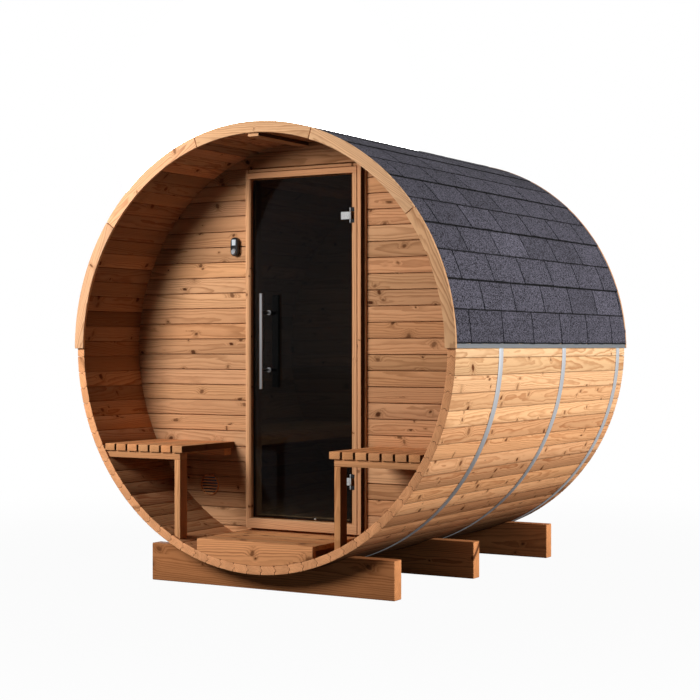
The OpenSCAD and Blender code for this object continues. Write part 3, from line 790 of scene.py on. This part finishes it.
# Ridge caps: short tabs bent over the top, each lapping the next towards the front
ridge = dict(
    half=5.25, caps=8, lap=0.03, lowR=1.0352, thick=0.0018, rise=0.0012, steps=9, spread=0.08,
)
shape = newShape()
capLength = (rearY - frontY - ridge["lap"]) / ridge["caps"]
turn = np.radians(zenith + np.linspace(-ridge["half"], ridge["half"], ridge["steps"]))
radii = np.repeat([ridge["lowR"] + ridge["thick"], ridge["lowR"]], ridge["steps"])
radii = radii + np.array([[ridge["rise"]], [0.0]])
for k in range(ridge["caps"]):
    y0 = frontY + k * capLength
    ends = np.array([[y0], [y0 + capLength + ridge["lap"]]])
    loops = roundAxis(radii, np.concatenate([turn, turn[::-1]]), ends)
    addTube(shape, loops, tone=boardTone(ridge["spread"]))
putPiece("ridge_caps", shape, shingle, ["roof_ridge"], smooth=roof["smooth"])

# Drip edges: bent sheet, a flange down to a small kick-out with a folded hem
drip = dict(gap=0.0002, sheet=0.0016, kick=0.005, hem=0.002, lip=0.0015, ease=0.0002)
for name, side in (("right", 1), ("left", -1)):
    low, high, shape = begin("drip_edge_" + name)
    near, bottom, top = roof["innerR"] + drip["gap"], low[2], high[2]
    far = near + drip["kick"]
    line = np.array(
        [
            [near, top],
            [near + drip["sheet"], top],
            [near + drip["sheet"], bottom + drip["kick"] + drip["hem"]],
            [far, bottom + drip["lip"]],
            [far, bottom],
            [far - drip["hem"], bottom],
            [near, bottom + drip["kick"]],
        ]
    )
    flat, run = easedRun(line, low[1], high[1], drip["ease"])
    loops = np.stack(np.broadcast_arrays(side * flat[..., 0], run[:, None], flat[..., 1]), -1)
    addTube(shape, loops)
    putPiece("drip_sheet_" + name, shape, dripMetal, ["drip_edge_" + name])
print("roof set:", 2 * (len(edges) - 1), "courses of shingles")

# The photo's frame sits further right than the solids, so its edges have their own values here
doorFrame = dict(
    left=-0.310, right=0.317, casing=0.3375, strip=0.0125, seam=0.004,
    setBack=0.004, bead=0.012, top=0.870, bottom=-0.870, ease=0.0016,
    spread=0.02, play=0.0008, headStrip=0.028, headBack=0.010,
    sillEase=0.002, sillSpread=0.03, slant=0.007, slantSeam=0.6,
    casingGap=0.0012, casingSideShade=(0.1, 0.5, 0.2),
    headTone=1.02, overTone=0.9, stripTone=1.08, latchTone=0.98, casingTone=1.02, beadTone=0.9,
)
wall = dict(
    board=0.0754, topSeam=0.8775,
    below=26, above=3,  # rows under and over the top seam
    gap=0.0034, ease=0.0042, radius=0.9950, least=0.012, tongue=0.006, slide=0.008,
    play=1.05,  # the groove's width over the tongue's
    sillCut=0.02, spread=0.11,
)


# A wall board: its eased section, with a groove below and a tongue above, is carried along X
# between two ends that follow the barrel where none is given
def addWallBoard(shape, y0, z0, z1, left=None, right=None):
    y1 = y0 + barrel["wallThick"]
    corners = eased(rectangle((y0, z0), (y1, z1)), wall["ease"])
    middle, half, rise = (y0 + y1) / 2, wall["tongue"], wall["slide"]
    tongue = np.array([[half, 0], [half, rise], [-half, rise], [-half, 0]])
    groove = tongue[::-1] * [wall["play"], 1] + [middle, z0]
    section = [corners[:3], groove, corners[3:9], tongue + [middle, z1], corners[9:]]
    y, z = np.concatenate(section).T
    limit = np.sqrt(np.maximum(wall["radius"] ** 2 - z**2, 0))
    ends = (-limit if left is None else left, limit if right is None else right)
    loops = np.stack([np.stack(np.broadcast_arrays(end, y, z), -1) for end in ends])
    addTube(shape, loops + axis, inLog(loops[..., [2, 1, 0]]), boardTone(wall["spread"]))


def wallRows():
    rows = wall["topSeam"] + wall["board"] * np.arange(-wall["below"], wall["above"])
    for z0, z1 in zip(rows[:-1], rows[1:]):
        low, high = max(z0, -wall["radius"]), min(z1, wall["radius"])
        if high - low > wall["least"]:
            yield low + wall["gap"] / 2, high - wall["gap"] / 2


frontBoards, backBoards = newShape(), newShape()
gap = wall["gap"] / 2
lost = 0.0  # height cut off the row under the door, made up by the next row
for z0, z1 in wallRows():
    if z0 > doorFrame["top"]:
        addWallBoard(frontBoards, wallY, z0, z1)
    elif z1 < doorFrame["bottom"] + wall["sillCut"]:
        top = min(z1, doorFrame["bottom"] - gap)
        lost = z1 - top
        addWallBoard(frontBoards, wallY, z0, top)
    else:
        addWallBoard(frontBoards, wallY, z0 - lost, z1, right=doorFrame["left"] - gap)
        addWallBoard(frontBoards, wallY, z0 - lost, z1, left=doorFrame["right"] + gap)
        lost = 0.0
    addWallBoard(backBoards, barrel["backY"], z0, z1)
putPiece(
    "front_wall_boards", frontBoards, wallWood,
    ["front_wall_left", "front_wall_right", "front_wall_above_door", "front_wall_below_door"],
)
putPiece("back_wall_boards", backBoards, wallWood, ["back_wall"])
print("end walls boarded")


def addFrameBoard(shape, low, high, along, bright, flank=None):
    addBoard(shape, low, high, along, doorFrame["ease"], doorFrame["spread"], bright, flank)


# Header: a frame strip below and a casing strip set back above it
low, high, shape = begin("door_header")
stripEnd, headTop = doorFrame["left"] + doorFrame["strip"], high[2]
start, joint = stripEnd + doorFrame["play"], low[2] + doorFrame["headStrip"]
addFrameBoard(shape, (start, low[1], low[2]), (high[0], high[1], joint), 0, doorFrame["headTone"])
corner = (start, low[1] + doorFrame["headBack"], joint + doorFrame["seam"])
addFrameBoard(shape, corner, high, 0, doorFrame["overTone"])
putPiece("door_header_board", shape, frameWood, ["door_header"])
low, high, shape = begin("door_sill")
sillLow = low[2]
corner = (start, low[1], sillLow)
addBoard(shape, corner, high, 0, doorFrame["sillEase"], doorFrame["sillSpread"])
putPiece("door_sill_board", shape, frameWood, ["door_sill"])

# Latch jamb: a pale casing strip, then the frame with its corner beside the glass cut off slantwise
low, high, shape = begin("door_jamb_left")
corner = (doorFrame["left"], low[1] + doorFrame["setBack"], sillLow)
addFrameBoard(shape, corner, (stripEnd, high[1], headTop), 2, doorFrame["stripTone"])
near, slant = stripEnd + doorFrame["slantSeam"] * doorFrame["seam"], doorFrame["slant"]
outline = [
    [near, low[1]], [high[0] - slant, low[1]], [high[0], low[1] + slant],
    [high[0], high[1]], [near, high[1]],
]
outline = eased(outline, doorFrame["ease"])
look = {"ease": doorFrame["ease"], "spread": doorFrame["spread"], "bright": doorFrame["latchTone"]}
addRun(shape, outline, [0, 1], (low[2], high[2]), [1, 0, 2], **look)
putPiece("door_jamb_left_board", shape, frameWood, ["door_jamb_left"])

# Hinge jamb: its outline, rebated beside the glass, is carried up with a deeper cut at each hinge;
# a casing strip on the wall stands beside it, with a bead
low, high, shape = begin("door_jamb_right")
notch = dict(rebate=0.013, wide=0.012, deep=0.033, half=0.0368, heights=(0.626, -0.625))
edgeX, backY = low[0] + notch["rebate"], low[1] + notch["deep"]
whole = np.array(
    [
        [edgeX, backY], [edgeX, low[1]], [high[0], low[1]],
        [high[0], high[1]], [low[0], high[1]], [low[0], backY],
    ]
)
cut = whole.copy()
cut[:2, 0] += notch["wide"]
levels, outlines = [low[2]], [whole]
for height in sorted(notch["heights"]):
    for rise, pair in ((-notch["half"], (whole, cut)), (notch["half"], (cut, whole))):
        levels += [axis[2] + (height + rise)] * 2
        outlines += pair
outlines = np.array(outlines + [whole])
heights = np.array(levels + [high[2]])[:, None, None]
loops = np.concatenate([outlines, np.broadcast_to(heights, outlines.shape[:2] + (1,))], -1)
addTube(shape, loops, inLog(loops[..., [1, 0, 2]]), boardTone(doorFrame["spread"]))
casing = doorFrame["casing"]
corner = (high[0] + doorFrame["casingGap"], low[1] + doorFrame["setBack"], sillLow)
# the casing's sides get a painted shade
tone, side = doorFrame["casingTone"], doorFrame["casingSideShade"]
addFrameBoard(shape, corner, (casing, wallY, headTop), 2, tone, side)
corner = (casing + hair, wallY - doorFrame["bead"], sillLow)
farCorner = (casing + doorFrame["bead"], wallY, headTop)
addFrameBoard(shape, corner, farCorner, 2, doorFrame["beadTone"])
putPiece("door_jamb_right_board", shape, frameWood, ["door_jamb_right"])

# CAD nodes that stay
for name in ("door_stops", "step_bearers"):
    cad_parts[name].data.materials.clear()
    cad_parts[name].data.materials.append(hiddenWood)

low, high, shape = begin("door_glass")
addBlock(shape, low, high, pane["ease"])
putPiece("door_glass_pane", shape, tintedGlass, ["door_glass"], "door")
glassFront, glassBack = low[1], high[1]

# Hinges: leaves in the jamb, turned knuckles on webs, and clamps with two screws on the glass
hinge = dict(
    x=0.277, y=-0.593, knuckle=0.005, height=0.072, leaf=0.004,
    leafFront=0.005, leafBack=-0.5733, web=0.0045, webEnd=0.002, play=0.0006,
    ease=0.0008, clamp=0.036, reach=0.054, plate=0.004,
    plateEnd=0.2615,  # inside, clear of the stop
    plateEase=0.001, screws=(0.018, 0.040), screw=(-0.0005, 0.0014, 0.0045), screwSides=20,
)
plates, knuckles, clamps = newShape(), newShape(), newShape()
x, y, leafX = hinge["x"], hinge["y"], edgeX + notch["wide"] - hair
upwards, forwards = (0, 0, 1), (0, -1, 0)
for height in notch["heights"]:
    z, tall, half = axis[2] + height, hinge["height"] / 2, hinge["clamp"] / 2
    corner = (leafX - hinge["leaf"], y - hinge["leafFront"], z - tall)
    addBlock(plates, corner, (leafX, hinge["leafBack"], z + tall))
    for end in (-1, 1):
        bottom, top = sorted((z + end * (half + hinge["play"]), z + end * tall))
        profile = domed(bottom, top, hinge["knuckle"], hinge["ease"])
        addTurned(knuckles, (x, y, 0), upwards, profile)
        corner = (leafX - hinge["webEnd"], y + hinge["web"], top)
        addBlock(plates, (x, y - hinge["web"], bottom), corner)
    profile = domed(z - half, z + half, hinge["knuckle"], hinge["ease"])
    addTurned(clamps, (x, y, 0), upwards, profile)
    front, back, start = glassFront - hinge["plate"], glassBack + hinge["plate"], x - hinge["reach"]
    corner = (x, glassFront - hair, z + half)
    addBlock(clamps, (start, front, z - half), corner, hinge["plateEase"])
    corner = (hinge["plateEnd"], back, z + half)
    addBlock(clamps, (start, glassBack + hair, z - half), corner, hinge["plateEase"])
    for across in hinge["screws"]:
        profile = domed(*hinge["screw"], hinge["ease"])
        addTurned(clamps, (x - across, front, z), forwards, profile, hinge["screwSides"])
putPiece("hinge_plates", plates, blackMetal, ["door_hinge_plates"])
putPiece("hinge_knuckles", knuckles, satinSteel)
putPiece("hinge_clamps", clamps, satinSteel, ["door_hinge_clamps"], "door")

studEase = 0.002
low, high, shape = begin("door_catch_stud")
centre, radius = (low + high) / 2, (high[0] - low[0]) / 2
profile = domed(0, high[1] - low[1], radius, studEase)
addTurned(shape, (centre[0], high[1], centre[2]), forwards, profile)
putPiece("catch_stud", shape, satinSteel, ["door_catch_stud"], "door")

# Handles: a round steel bar outside, a flat dark wood bar inside, both on turned fixings
handle = dict(
    x=-0.183, z=0.036, pitch=0.277, bar=0.010, barEase=0.0025,
    post=0.007, postEase=0.0005, rose=0.012, roseDeep=0.005, roseEase=0.0012,
    flat=0.014, flatEase=0.003,
)
fixings = [axis[2] + handle["z"] + side * handle["pitch"] / 2 for side in (-1, 1)]
x = handle["x"]
low, high, shape = begin("door_handle_outside")
barY, postY = low[1] + handle["bar"], glassFront - handle["roseDeep"]
addTurned(shape, (x, barY, 0), upwards, domed(low[2], high[2], handle["bar"], handle["barEase"]))
rose = domed(0, handle["roseDeep"], handle["rose"], handle["roseEase"])
post = domed(0, postY - barY, handle["post"], handle["postEase"])
for z in fixings:
    addTurned(shape, (x, glassFront - hair, z), forwards, rose)
    addTurned(shape, (x, postY, z), forwards, post)
putPiece("outer_handle_bar", shape, handleSteel, ["door_handle_outside"], "door")

low, high, shape = begin("door_handle_inside")
flatY = high[1] - handle["flat"]
addBoard(shape, (low[0], flatY, low[2]), high, 2, handle["flatEase"], 0.0)
post = domed(0, flatY - glassBack, handle["post"], handle["postEase"])
for z in fixings:
    addTurned(shape, (x, glassBack + hair, z), (0, 1, 0), post)
putPiece("inner_handle_bar", shape, darkWood, ["door_handle_inside"], "door")
print("door hung")

bench = dict(
    slats=7, slat=0.058, ease=0.003, rail=0.033, railDeep=0.058, leg=0.033,
    reachR=0.9895,  # just clear of the staves
    shade=(0.2, 0.5, 0.2),  # painted shade on the slats' sides, in the gaps between them
    # painted shade on the front legs' sides
    legSideShade={"left": (0.85, 0.8, 0.6), "right": (0.32, 0.8, 0.6)},
)
cabinBench = dict(
    slat=0.033, rail=0.030, reachR=0.9894, bearers=3, bearer=0.045, first=0.06, last=0.105,
)


# A board between two distances from the middle, on one side of it
def addSideBoard(shape, side, reach, low, high, along, flank=None):
    left, right = sorted((side * reach[0], side * reach[1]))
    addBoard(shape, (left, *low), (right, *high), along, bench["ease"], flank=flank)


for name, side in (("left", -1), ("right", 1)):
    low, high, shape = begin("bench_slats_" + name)
    near, far = sorted((abs(low[0]), abs(high[0])))
    for x in np.linspace(near, far - bench["slat"], bench["slats"]):
        addSideBoard(shape, side, (x, x + bench["slat"]), low[1:], high[1:], 1, bench["shade"])
    putPiece("porch_slats_" + name, shape, benchWood, ["bench_slats_" + name])

    # rails under the slats, their far ends sawn to the staves, and the front leg, whose sides carry
    # painted shade
    low, high, shape = begin("bench_frame_" + name)
    top, bottom = high[2], high[2] - bench["rail"]
    start = min(abs(low[0]), abs(high[0]))
    reach = [halfChord(bench["reachR"], axis[2] - z) for z in (bottom, top)]
    outline = [[start, bottom], [reach[0], bottom], [reach[1], top], [start, top]]
    outline = eased(outline, bench["ease"]) * [side, 1]
    for y in (low[1], high[1] - bench["railDeep"]):
        addSawn(shape, outline, y, y + bench["railDeep"], ease=bench["ease"])
    end, bottom = start + bench["leg"], bottom - hair
    foot = [axis[2] - halfChord(bench["reachR"], x) for x in (start, end)]
    outline = [[start, foot[0]], [end, foot[1]], [end, bottom], [start, bottom]]
    outline = eased(outline, bench["ease"]) * [side, 1]
    look = {"ease": bench["ease"], "flank": bench["legSideShade"][name]}
    addSawn(shape, outline, low[1], low[1] + bench["railDeep"], upright=True, **look)
    putPiece("porch_bench_frame_" + name, shape, benchWood, ["bench_frame_" + name])

    # cabin bench: slats from wall to wall, a rail along their near edge and cross bearers
    low, high, shape = begin("cabin_bench_" + name)
    near = min(abs(low[0]), abs(high[0]))
    seat = high[2] - cabinBench["slat"]
    far = halfChord(cabinBench["reachR"], axis[2] - seat)
    for x in np.linspace(near, far - bench["slat"], bench["slats"]):
        addSideBoard(shape, side, (x, x + bench["slat"]), (low[1], seat), high[1:], 1)
    seat, end = seat - hair, near + cabinBench["rail"]
    addSideBoard(shape, side, (near, end), low[1:], (high[1], seat), 1)
    reach = (end + hair, halfChord(cabinBench["reachR"], axis[2] - low[2]))
    first, last = low[1] + cabinBench["first"], high[1] - cabinBench["last"]
    for y in np.linspace(first, last, cabinBench["bearers"]):
        addSideBoard(shape, side, reach, (y, low[2]), (y + cabinBench["bearer"], seat), 0)
    putPiece("cabin_bench_boards_" + name, shape, benchWood, ["cabin_bench_" + name])

# Step: boards across the doorway and a front board scribed to the staves
step = dict(boards=5, gap=0.003, ease=0.002, corner=0.002, reachR=0.9896, arcSteps=25)
low, high, shape = begin("step_boards")
pitch = (high[1] - low[1]) / step["boards"]
for k in range(step["boards"]):
    y0, y1 = low[1] + k * pitch + (step["gap"] if k else 0), low[1] + (k + 1) * pitch
    addBoard(shape, (low[0], y0, low[2]), (high[0], y1, high[2]), 0, step["ease"])
putPiece("step_deck", shape, stepWood, ["step_boards"])
low, high, shape = begin("step_front_board")
sweep = np.linspace(low[0], high[0], step["arcSteps"])
curve = np.stack([sweep, axis[2] - halfChord(step["reachR"], sweep)], 1)
left, right, top, inset = low[0], high[0], high[2], step["corner"]
corners = [[right, top - inset], [right - inset, top], [left + inset, top], [left, top - inset]]
addSawn(shape, np.concatenate([curve, corners]), low[1], high[1], ease=step["ease"])
putPiece("step_face", shape, stepWood, ["step_front_board"])

# side: painted shade on the batten's sides
batten = dict(ease=0.003, side=(0.15, 0.5, 0.5))
low, high, shape = begin("porch_ceiling_batten")
addBoard(shape, low, high, 1, batten["ease"], flank=batten["side"])
putPiece("ceiling_batten", shape, trimWood, ["porch_ceiling_batten"])
print("benches and step set")

# Heater control: a stadium outline drawn forward with a rounded front edge, a display and a knob
control = dict(
    halfW=0.021, steps=16, depth=(0, 0.002, 0.021, 0.0235, 0.0252, 0.026),
    inset=(0.001, 0, 0, 0.0007, 0.0025, 0.005),
    display=((-0.011, -0.0008, 0.006), (0.011, 0.002, 0.034)),  # from the middle of the front
    knob=(
        (-0.001, 0.0145), (0.001, 0.0145), (0.001, 0.013), (0.0055, 0.0125),
        (0.0068, 0.0115), (0.007, 0.010), (0.0064, 0.009),
    ),
    knobSides=40, smooth=40,
)
low, high, shape = begin("heater_control")
centre = (low + high) / 2
drop = (high[2] - low[2]) / 2 - control["halfW"]
turn = np.linspace(0, np.pi, control["steps"])
cap = np.stack([np.cos(turn), np.sin(turn)], 1) * control["halfW"]
outline = np.concatenate([cap + [0, drop], -cap - [0, drop]])
depth, inset = np.array(control["depth"]), np.array(control["inset"])
loops = np.empty((len(depth), len(outline), 3))
loops[..., [0, 2]] = centre[[0, 2]] + outline * (1 - inset / control["halfW"])[:, None, None]
loops[..., 1] = (high[1] - depth)[:, None]
addTube(shape, loops)
putPiece(
    "control_housing", shape, blackPlastic, ["heater_control"],
    smooth=control["smooth"],
)
shape = newShape()
front = np.array([centre[0], high[1] - depth[-1], centre[2]])
addBlock(shape, *(front + corner for corner in control["display"]))
putPiece("control_display", shape, displayGlass)
shape = newShape()
addTurned(shape, front - [0, 0, drop], forwards, control["knob"], control["knobSides"])
putPiece("control_knob", shape, knobPlastic, smooth=control["smooth"])

# Vent: a turned rim with level louvres across it and a dark disc behind
vent = dict(
    louvres=7, rim=0.0025, depth=0.006, share=0.5, proud=0.002, ease=0.001,
    sides=64, spread=0.03, disc=(0.0015, 0.004, 0.0005), discSides=48,
)
low, high, shape = begin("wall_vent")
centre, radius = (low + high) / 2 * [1, 0, 1], (high[0] - low[0]) / 2
turn = np.arange(vent["sides"]) * 2 * np.pi / vent["sides"]
section = rectangle((radius - vent["rim"], low[1] + vent["proud"]), (radius, high[1]))
line = eased(section, vent["ease"])
loops = roundAxis(line[:, 0], turn[:, None], line[:, 1], middle=centre)
addTube(shape, loops, ring=True)
pitch = 2 * (radius - vent["rim"]) / vent["louvres"]
thick = vent["share"] * pitch / 2
for k in range(vent["louvres"]):
    z = -radius + vent["rim"] + (k + 0.5) * pitch
    half = halfChord(radius - vent["rim"] / 2, z)
    section = rectangle((low[1], z - thick), (low[1] + vent["depth"], z + thick))
    y, z = eased(section, vent["ease"]).T
    loops = np.stack(np.broadcast_arrays([[-half], [half]], y, z), -1) + centre
    addTube(shape, loops, inLog(loops[..., [2, 1, 0]]), boardTone(vent["spread"]))
putPiece("vent_louvres", shape, benchWood, ["wall_vent"])
shape = newShape()
deep, inset, ease = vent["disc"]
profile = domed(0, deep, radius - inset, ease)
addTurned(shape, (centre[0], high[1], centre[2]), forwards, profile, vent["discSides"])
putPiece("vent_back", shape, blackPlastic)
print("fittings set")

# The floor is white to the camera but for a weak shadow, and darker as a source of light
stage = dict(
    half=60, paint=(0.16, 0.16, 0.16, 1),
    shadow=(1.5, 5.0, 0.96, 1.0),  # fades out into plain white
    mirror=(1.0, 3.0, 0.05, 0.6),
)
white = (1, 1, 1, 1)
floorMesh = bpy.data.meshes.new("floor")
half = stage["half"]
corners = [(-half, -half, 0), (half, -half, 0), (half, half, 0), (-half, half, 0)]
floorMesh.from_pydata(corners, [], [(0, 1, 2, 3)])
floor = newObject("floor", floorMesh)
floor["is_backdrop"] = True
floorMaterial = bpy.data.materials.new("floorPaint")
floorMaterial.use_nodes = True
tree = floorMaterial.node_tree
tree.nodes.clear()
paint = addNode(tree, "ShaderNodeBsdfDiffuse", {"Color": stage["paint"]}).outputs[0]
glow = addNode(tree, "ShaderNodeEmission", {"Color": white, "Strength": 1.0}).outputs[0]
path = addNode(tree, "ShaderNodeLightPath").outputs
inputs = {0: objectPlace(tree)}
far = addNode(tree, "ShaderNodeVectorMath", inputs, operation="LENGTH").outputs["Value"]
mirrored = times(path["Is Glossy Ray"], ramp(far, *stage["mirror"]))
seen = calc("MAXIMUM", path["Is Camera Ray"], path["Is Transmission Ray"])
share = times(calc("MAXIMUM", seen, mirrored), ramp(far, *stage["shadow"]))
both = addNode(tree, "ShaderNodeMixShader", {0: share, 1: paint, 2: glow})
addNode(tree, "ShaderNodeOutputMaterial", {0: both.outputs[0]})
floorMesh.materials.append(floorMaterial)

light = dict(world=0.012, cool=(0.66, 1.0, 1.2))  # the cool lamps stand behind the grey glass
lamps = {  # place, aim, size, power, spread in degrees
    "key": ((-1.8, -4.5, 2.85), (-0.5, -0.9, 1.5), 1.9, 69, 90),
    "side": ((7.0, 0.8, 3.1), (0.5, 0.1, 1.0), 3.0, 560, 180),
    "back": ((-4.5, 6.0, 3.2), (0, 0.5, 1.1), 3.0, 190, 180),
    "cabin": ((0.2, 0.15, 1.9), (0.1, 0.18, 0.2), 0.4, 3.2, 160),
    "doorway": ((0.34, -0.2, 1.6), (0.14, -0.3, 0.13), 0.2, 5, 60),
}
world = bpy.data.worlds.new("studio")
bpy.context.scene.world = world
world.use_nodes = True
tree = world.node_tree
tree.nodes.clear()
path = addNode(tree, "ShaderNodeLightPath").outputs
seen = calc("MAXIMUM", path["Is Glossy Ray"], path["Is Transmission Ray"])
seen = calc("MAXIMUM", path["Is Camera Ray"], seen)
strength = scaled(seen, 1.0 - light["world"], light["world"])
sky = addNode(tree, "ShaderNodeBackground", {"Color": white, "Strength": strength})
addNode(tree, "ShaderNodeOutputWorld", {0: sky.outputs[0]})


# Columns right, up and back of a camera or lamp that looks along a direction
def looking(place, direction, roll=0.0):
    back = -np.asarray(direction, float) / np.linalg.norm(direction)
    level = np.cross([0, 0, 1], back)
    level = level / np.linalg.norm(level)
    upright = np.cross(back, level)
    right = level * math.cos(roll) + upright * math.sin(roll)
    up = upright * math.cos(roll) - level * math.sin(roll)
    turned = np.eye(4)
    turned[:3] = np.stack([right, up, back, place], 1)
    return Matrix(turned.tolist())


for name, (place, aim, size, power, spread) in lamps.items():
    indoors = name in ("cabin", "doorway")
    lamp = bpy.data.lights.new(name, "AREA")
    lamp.shape = "DISK"
    lamp.size = size
    lamp.energy = power
    lamp.spread = math.radians(spread)
    lamp.color = light["cool"] if indoors else white[:3]
    holder = newObject(name, lamp)
    holder.matrix_world = looking(place, np.subtract(aim, place))
    holder.visible_glossy = name in ("side", "back")  # the other discs aren't mirrored in the door
    holder.visible_camera = holder.visible_transmission = not indoors

view = dict(
    place=(4.072, -7.077, 1.123), turn=30.36, pitch=-0.10, roll=-0.03,
    focal=1602 / 700, sensor=36, end=200,
)
camera = bpy.data.cameras.new("camera")
camera.sensor_width = view["sensor"]
camera.lens = view["focal"] * view["sensor"]
camera.clip_end = view["end"]
eye = newObject("camera", camera)
yaw, pitch = math.radians(view["turn"]), math.radians(view["pitch"])
ahead = (-math.sin(yaw) * math.cos(pitch), math.cos(yaw) * math.cos(pitch), math.sin(pitch))
eye.matrix_world = looking(view["place"], ahead, math.radians(view["roll"]))
bpy.context.scene.camera = eye
bpy.context.scene.view_settings.view_transform = "Standard"

low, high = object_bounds()
